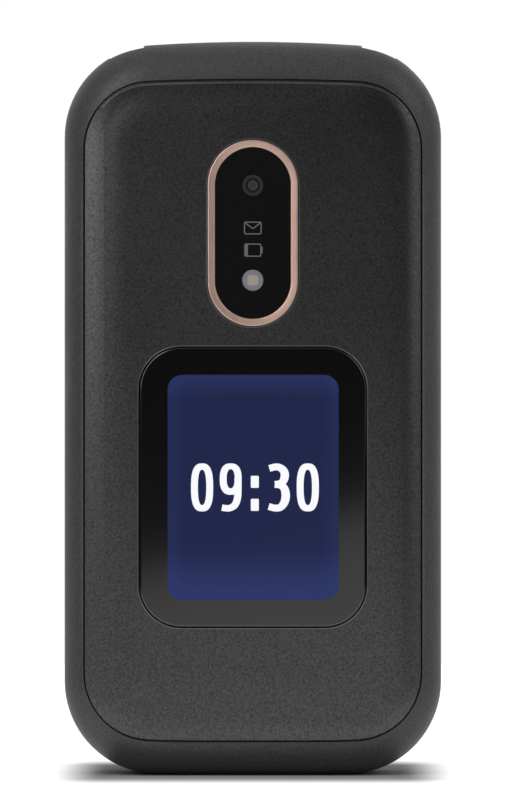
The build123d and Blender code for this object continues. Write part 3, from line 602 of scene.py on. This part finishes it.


# painted highlights: light lips round the camera trim and round the window
seat_lip("trim_seat_lip", "camera_trim_ring", trim_half_x, 0.16, 0.3, 0.01)
seat_lip("window_seat_lip", "outer_display_window", 6.2, 0.12, 0.25, 0.08)
# a painted highlight: a light strip along the panel's top edge and round its corners
follow_lid(plate("panel_edge_line", stroke_points(edge_path()), panel_front - edge_lift,
                 panel_front, edge_highlight, "lid"))
# painted highlights: light strips along both sides of the shell's opening
for name, side in (("shell_rim_left", -1), ("shell_rim_right", 1)):
    follow_lid(plate(name, stroke_points(rim_path(side)), panel_front - rim_lift, panel_front,
                     rim_highlight, "lid"))

# ---- Marks in the oval: lens rings, icons and flash ----
oval_front, flash_front = face_of("camera_window"), face_of("flash_led")
mark_lift = 0.01
mark_y = oval_front - mark_lift
camera_z, flash_z = 87.45, 73.4
icon_line = 0.17
for name, outer, inner, material in (
    ("camera_lens_rim", 1.55, 1.12, lens_grey), ("camera_lens_well", 1.12, 0.7, lens_dark),
    ("camera_lens_iris", 0.7, 0.5, lens_light), ("camera_lens_eye", 0.5, 0.01, lens_grey),
):
    ring(name, circle_points(0, camera_z, outer), circle_points(0, camera_z, inner), mark_y,
         oval_front, material, "lid")
# a painted glint: a small light dot on the lens standing in for a highlight
plate("camera_lens_painted_glint", circle_points(0.12, camera_z - 0.2, 0.15, 16), mark_y - 0.004,
      oval_front, lens_light, "lid")


def icon_plate(name, points):
    plate(name, points, mark_y, oval_front, icon_grey, "lid")


def icon_frame(name, z, size_x, size_z, radius):
    """Rounded outline of a line's width."""
    ring(name, rounded_points(0, z, size_x, size_z, radius, 4),
         rounded_points(0, z, size_x - 2 * icon_line, size_z - 2 * icon_line, radius - icon_line,
                        4), mark_y, oval_front, icon_grey, "lid")


envelope_z, envelope_width, envelope_height = 81.14, 2.62, 1.9
flap_x, flap_z = envelope_width / 2 - 0.2, envelope_z + envelope_height / 2 - 0.2
icon_frame("envelope", envelope_z, envelope_width, envelope_height, 0.28)
icon_plate("envelope_flap", stroke_points([(x, z, icon_line) for x, z in (
    (-flap_x, flap_z), (-0.1, envelope_z - 0.02), (0, envelope_z - 0.07), (0.1, envelope_z - 0.02),
    (flap_x, flap_z))]))

charge_z, charge_width, charge_height = 77.87, 2.53, 1.96
icon_frame("charge_case", charge_z, charge_width, charge_height, 0.26)
icon_plate("charge_bar", rounded_points(-charge_width / 2 + 0.35, charge_z, 0.4,
                                        charge_height - 0.1, 0.12, 3))
icon_plate("charge_nub", rounded_points(charge_width / 2 + 0.09, charge_z, 0.2, 0.95, 0.08, 3))

plate("flash_core", rounded_points(0, flash_z, 1.6, 1.5, 0.35, 4), flash_front - mark_lift,
      flash_front, flash_core, "lid")

# ---- Keypad legends ----
ink = 0.012                 # thickness of a printed mark
figure_height, star_height, figure_shift = 4.7, 3.4, 3.3
letter_height, plus_height, letter_shift, letter_drop = 1.6, 1.2, 2.4, 0.2
frame_line, flap_line = 0.3, 0.32           # of the signs on the two upper keys
arrow_half, arrow_foot, arrow_tip = 2.1, 6.6, 9.2


def lettering(name, words, x, z, height, face_y, material, body, squeeze=0.9, weight=0.02,
              inner=False):
    """Figures or letters centred on a point. Inner ones lie on the lid's inner face, upright
    once it is open."""
    curve = bpy.data.curves.new(name, "FONT")
    curve.body, curve.extrude, curve.offset = words, 0.05, weight
    source = bpy.data.objects.new(name, curve)
    mesh = bpy.data.meshes.new_from_object(source)
    bpy.data.objects.remove(source)
    across, up = [v.co.x for v in mesh.vertices], [v.co.y for v in mesh.vertices]
    scale = height / (max(up) - min(up))
    middle_u, middle_v = (max(across) + min(across)) / 2, (max(up) + min(up)) / 2
    turn = -1 if inner else 1
    for vertex in mesh.vertices:
        u, v, w = vertex.co
        corner = (x + (u - middle_u) * scale * squeeze, face_y - turn * (ink if w > 0 else 0.0),
                  z + turn * (v - middle_v) * scale)
        vertex.co = [c * mm for c in corner]
    piece = bpy.data.objects.new(name, mesh)
    scene.collection.objects.link(piece)
    mesh.materials.clear()
    mesh.materials.append(material)
    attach(piece, body)


key_names = {"*": "star", "#": "hash"}
key_rows = (("1", "2 ABC", "3 DEF"), ("4 GHI", "5 JKL", "6 MNO"), ("7 PQRS", "8 TUV", "9 WXYZ"),
            ("*", "0 +", "#"))
for legend in [legend for row in key_rows for legend in row]:
    sign, _, letters = legend.partition(" ")
    key_name = key_names.get(sign, sign)
    node, body = f"key_{key_name}", f"press_{key_name}"
    x, z = middle_of(node)
    lettering(f"legend_{node}", sign, x - (figure_shift if letters else 0.0), z,
              star_height if sign == "*" else figure_height, face_of(node), legend_ink, body)
    if letters:
        lettering(f"letters_{node}", letters, x + letter_shift, z - letter_drop,
                  plus_height if letters == "+" else letter_height, face_of(node), legend_ink,
                  body, squeeze=0.82, weight=0.0)


def key_mark(node, name, points, material=legend_ink):
    """A printed mark; its points are about the key's middle."""
    x, z = middle_of(node)
    body = "navigation" if node == "navigation_rocker" else node.replace("key_", "press_")
    y = face_of(node)
    plate(name, [(x + u, z + v) for u, v in points], y - ink, y, material, body)


def key_ring(node, name, outer, inner):
    x, z = middle_of(node)
    y = face_of(node)
    outer, inner = [[(x + u, z + v) for u, v in points] for points in (outer, inner)]
    ring(name, outer, inner, y - ink, y, legend_ink, node.replace("key_", "press_"))


def frames(z, size_x, size_z, outer_radius, inner_radius):
    """Outer and inner outline of a rounded frame."""
    return (rounded_points(0, z, size_x, size_z, outer_radius, 4),
            rounded_points(0, z, size_x - 2 * frame_line, size_z - 2 * frame_line, inner_radius, 4))


handset = [(-2.3, -0.75, 1.35), (-2.0, 0.1, 1.2), (-1.05, 0.68, 0.62), (0, 0.84, 0.56),
           (1.05, 0.68, 0.62), (2.0, 0.1, 1.2), (2.3, -0.75, 1.35)]
for node, name, material, turn in (("key_call", "call_sign", call_green, 130),
                                   ("key_end", "end_sign", end_red, 0)):
    c, s = math.cos(math.radians(turn)), math.sin(math.radians(turn))
    path = [(u * c - v * s, u * s + v * c, width) for u, v, width in handset]
    key_mark(node, name, stroke_points(smooth_line(path)), material)
for node in ("key_soft_left", "key_soft_right"):
    key_mark(node, f"{node}_bar", rounded_points(0, 0, 4.6, 0.8, 0.35, 4))
for name, up in (("up", 1), ("down", -1)):
    arrow = [(-arrow_half, arrow_foot * up), (arrow_half, arrow_foot * up), (0, arrow_tip * up)]
    key_mark("navigation_rocker", f"arrow_{name}", arrow[::up])     # the same way round for both
key_ring("key_message", "message_frame", *frames(0, 4.6, 3.0, 0.4, 0.2))
key_mark("key_message", "message_flap",
         stroke_points([(-1.9, 1.1, flap_line), (0, -0.25, flap_line), (1.9, 1.1, flap_line)]))
key_ring("key_camera", "camera_frame", *frames(-0.1, 4.6, 2.9, 0.5, 0.3))
key_ring("key_camera", "camera_eye", circle_points(0, -0.1, 0.85, 28),
         circle_points(0, -0.1, 0.55, 28))
key_mark("key_camera", "camera_hump", rounded_points(0, 1.5, 1.5, 0.5, 0.15, 3))

# ---- Volume marks ----
low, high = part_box("volume_rocker")
side_x, side_y = low[0] / mm, (low[1] + high[1]) / 2 / mm
mark_in, mark_long, mark_thin = 2.6, 1.4, 0.35      # from the rocker's end, and the strokes' sizes
plus_z, minus_z = high[2] / mm - mark_in, low[2] / mm + mark_in
for name, size_y, size_z, z, lift in (("plus_across", mark_long, mark_thin, plus_z, 0.004),
                                      ("plus_up", mark_thin, mark_long, plus_z, 0.006),
                                      ("minus", mark_long, mark_thin, minus_z, 0.004)):
    outline = rounded_points(side_y, z, size_y, size_z, 0.12, 3)
    count = len(outline)
    corners = [(x, y, v) for x in (side_x - lift, side_x + 0.01) for y, v in outline]
    faces = [tuple(range(count - 1, -1, -1)), tuple(range(count, 2 * count))]
    faces += [(i, (i + 1) % count, (i + 1) % count + count, i + count) for i in range(count)]
    piece = add_mesh(f"volume_{name}", corners, faces, legend_ink)
    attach(piece, "volume")

# ---- Main display, upright once the lid is open ----
lens_y = face_of("main_display_lens", 1)
main_width, main_height, main_z = 43.2, 57.6, 50.0
bar_width = main_width - 0.2
layer = 0.006               # between one layer of the picture and the next
sign_x, charge_up, envelope_up = 18.2, 26.55, -26.35        # battery and envelope, on the right
clock_up, clock_height = 11.5, 9.5
signal_x, signal_foot, signal_pitch = -19.4, 25.2, 1.2
menu_x, menu_top, menu_pitch = -18.4, -25.4, 0.95


def main_material():
    """A plain blue picture, lighter towards its foot."""
    shader = dark_screen("main_screen")
    clouds = shader.noise(26, detail=2.0, rough=0.4)
    down = shader.spread(shader.along("Z"), 0.0, 0.8, (main_z - main_height / 2) * mm,
                         (main_z + main_height / 2) * mm)
    total = shader.math("ADD", down, shader.spread(clouds, -0.12, 0.12), clamp=True)
    shader.glow(total, (0.010, 0.014, 0.055), (0.055, 0.12, 0.36))
    return shader.material


def on_main(name, points, material=digit_white, level=2):
    """A plate on the main display: its points are across and up from the display's middle, for
    whoever holds the open phone."""
    placed = [(u, main_z - v) for u, v in points][::-1]
    plate(name, placed, lens_y + layer * (level + 1), lens_y, material, "lid")


on_main("main_screen", rounded_points(0, 0, main_width, main_height, 0.6, 3), main_material(), 0)
on_main("status_bar", rounded_points(0, 26.6, bar_width, 4.2, 0.5, 3), bar_dark, 1)
on_main("foot_bar", rounded_points(0, -26.3, bar_width, 4.8, 0.5, 3), bar_dark, 1)
for index in range(4):
    height = 0.8 + 0.6 * index
    on_main(f"signal_{index}", rounded_points(signal_x + signal_pitch * index,
                                              signal_foot + height / 2, 0.8, height, 0.1, 2))
on_main("charge_body", rounded_points(sign_x, charge_up, 4.0, 2.2, 0.3, 3))
on_main("charge_empty", rounded_points(sign_x + 1.1, charge_up, 1.2, 1.6, 0.1, 2), bar_dark, 3)
on_main("charge_tip", rounded_points(sign_x + 2.25, charge_up, 0.4, 1.0, 0.1, 2))
for index in range(3):
    on_main(f"menu_line_{index}",
            rounded_points(menu_x, menu_top - menu_pitch * index, 3.4, 0.45, 0.15, 2))
lettering("main_clock", "09:30", 0, main_z - clock_up, clock_height, lens_y + 2 * layer,
          digit_white, "lid", squeeze=0.82, inner=True)
ring("main_envelope", rounded_points(sign_x, main_z - envelope_up, 4.0, 2.6, 0.3, 3),
     rounded_points(sign_x, main_z - envelope_up, 3.4, 2.0, 0.15, 3), lens_y + 3 * layer, lens_y,
     digit_white, "lid")
on_main("main_flap", stroke_points([
    (sign_x - 1.6, envelope_up + 0.95, frame_line), (sign_x, envelope_up - 0.15, frame_line),
    (sign_x + 1.6, envelope_up + 0.95, frame_line)]))

# ---- Floor, world, camera and lamps; metres ----
floor_white = 0.35
floor_radius, floor_steps = 0.42, 96
# the floor's glow is withheld inside this box and comes back over the shadow's reach beyond it: a
# painted shade round the foot, in which the lamps' real shadow shows
foot_middle, foot_half = (0, 0.003, 0), (0.022, 0.016, 1.0)     # what stands on the floor
shadow_reach = (0.010, 0.021, 1.0)
mirrored_near, mirrored_far = 0.04, 0.34    # reflections see it white up to near, none at far
mirrored_shadow = 0.35                      # share of the shadow's reach that they see
world_fill = 0.35                           # light from all round
world_front = 0.02                          # what reflections see of the world in front
world_turn = (-0.25, 0.6)                   # Y of the directions over which that turns white


def mirror_rays(graph, rays):
    """1 for rays that come from metal or glass."""
    return graph.math("MAXIMUM", rays["Is Glossy Ray"], rays["Is Transmission Ray"])


def make_floor():
    """A pale floor, plain white to the eye and in reflections but round the phone's foot. There its
    glow is withheld, which paints a shade; within it the lamps' real shadow shows on the floor's
    grey."""
    corners = [(x, y, 0) for x, y in circle_points(0, 0, floor_radius, floor_steps)]
    mesh = bpy.data.meshes.new("floor")
    mesh.from_pydata(corners, [], [tuple(range(floor_steps))])
    floor = bpy.data.objects.new("floor", mesh)
    scene.collection.objects.link(floor)
    material = bpy.data.materials.new("floor_white")
    material.use_nodes = True
    material.node_tree.nodes.clear()
    graph = Graph(material.node_tree)
    rays = graph.add("ShaderNodeLightPath").outputs
    around = graph.run(("SUBTRACT", foot_middle), ("ABSOLUTE", None), ("SUBTRACT", foot_half),
                       ("MAXIMUM", (0, 0, 0)), ("DIVIDE", shadow_reach), ("LENGTH", None))
    # to the camera the glow fades out towards the foot: the painted shade
    seen = graph.math("MULTIPLY", rays["Is Camera Ray"], graph.fade(around, 0.0, 1.0))
    mirrored = graph.math("MULTIPLY", mirror_rays(graph, rays),
                          graph.fade(graph.run(("LENGTH", None)), mirrored_far, mirrored_near))
    # reflections see a smaller painted shade round the foot
    mirrored = graph.math("MULTIPLY", mirrored, graph.fade(around, 0.0, mirrored_shadow))
    diffuse = graph.add("ShaderNodeBsdfDiffuse", Color=(floor_white, floor_white, floor_white, 1.0))
    lift = graph.add("ShaderNodeEmission")
    graph.link(graph.math("MAXIMUM", seen, mirrored), lift.inputs["Strength"])
    both = graph.add("ShaderNodeAddShader")
    graph.link(diffuse.outputs[0], both.inputs[0])
    graph.link(lift.outputs[0], both.inputs[1])
    graph.link(both.outputs[0], graph.add("ShaderNodeOutputMaterial").inputs["Surface"])
    mesh.materials.append(material)


def make_world():
    """White to the camera and in reflections of what lies behind, dim grey from everywhere
    else."""
    world = bpy.data.worlds.new("studio")
    scene.world = world
    world.use_nodes = True
    graph = Graph(world.node_tree)
    background = world.node_tree.nodes["Background"]
    background.inputs["Color"].default_value = (1.0, 1.0, 1.0, 1.0)
    rays = graph.add("ShaderNodeLightPath").outputs
    behind = graph.spread(graph.along("Y", "Generated"), world_front, 1.0, *world_turn)
    indirect = graph.mix(mirror_rays(graph, rays), world_fill, behind)
    graph.link(graph.mix(rays["Is Camera Ray"], indirect, 1.0), background.inputs["Strength"])


def area_light(name, place, target, size, power, tilt=0.0):
    data = bpy.data.lights.new(name, "AREA")
    data.shape = "RECTANGLE"
    data.size, data.size_y = size
    data.energy = power
    lamp = bpy.data.objects.new(name, data)
    scene.collection.objects.link(lamp)
    lamp.location = place
    lamp.rotation_mode = "QUATERNION"
    aim = (Vector(target) - Vector(place)).to_track_quat("-Z", "Y")
    lamp.rotation_quaternion = aim @ Quaternion((0, 0, 1), math.radians(tilt))
    lamp.visible_camera = False


def make_camera():
    data = bpy.data.cameras.new("camera")
    camera = bpy.data.objects.new("camera", data)
    scene.collection.objects.link(camera)
    span = picture_height * mm_per_px * mm
    data.sensor_width = 36.0
    data.lens = data.sensor_width * camera_distance / span
    x = (picture_width / 2 - phone_middle_px) * mm_per_px * mm
    z = (phone_foot_px - picture_height / 2) * mm_per_px * mm
    camera.location = (x, silhouette_y - camera_distance, z)
    camera.rotation_euler = (math.radians(90), 0, 0)
    data.clip_start, data.clip_end = 0.01, 50
    scene.camera = camera


make_camera()
make_floor()
make_world()
area_light("top_soft", (0.0, -0.35, 1.1), (0, 0, 0.05), (1.4, 1.0), 1.9)
area_light("left_soft", (-0.12, -0.16, 0.13), (0, 0, 0.08), (0.05, 0.14), 0.101)
area_light("left_high", (-0.12, -0.20, 0.24), (0, 0, 0.09), (0.10, 0.10), 0.12)
area_light("right_soft", (0.5, -0.30, 0.45), (0, 0, 0.06), (0.3, 0.4), 0.79)
area_light("right_edge", (0.22, -0.08, 0.10), (0, 0, 0.08), (0.10, 0.10), 0.036)
# these two stand mostly below the floor; what is above it gives the glow at the window's foot
area_light("low_left", (-0.05, -0.16, -0.06), (-0.05, 0, -0.06), (0.10, 0.16), 0.0165)
area_light("front_low", (0.0217, -0.16, -0.0457), (0.0217, 0, -0.0457), (0.13, 0.16), 0.046,
           tilt=16)

scene.view_settings.view_transform = "Standard"
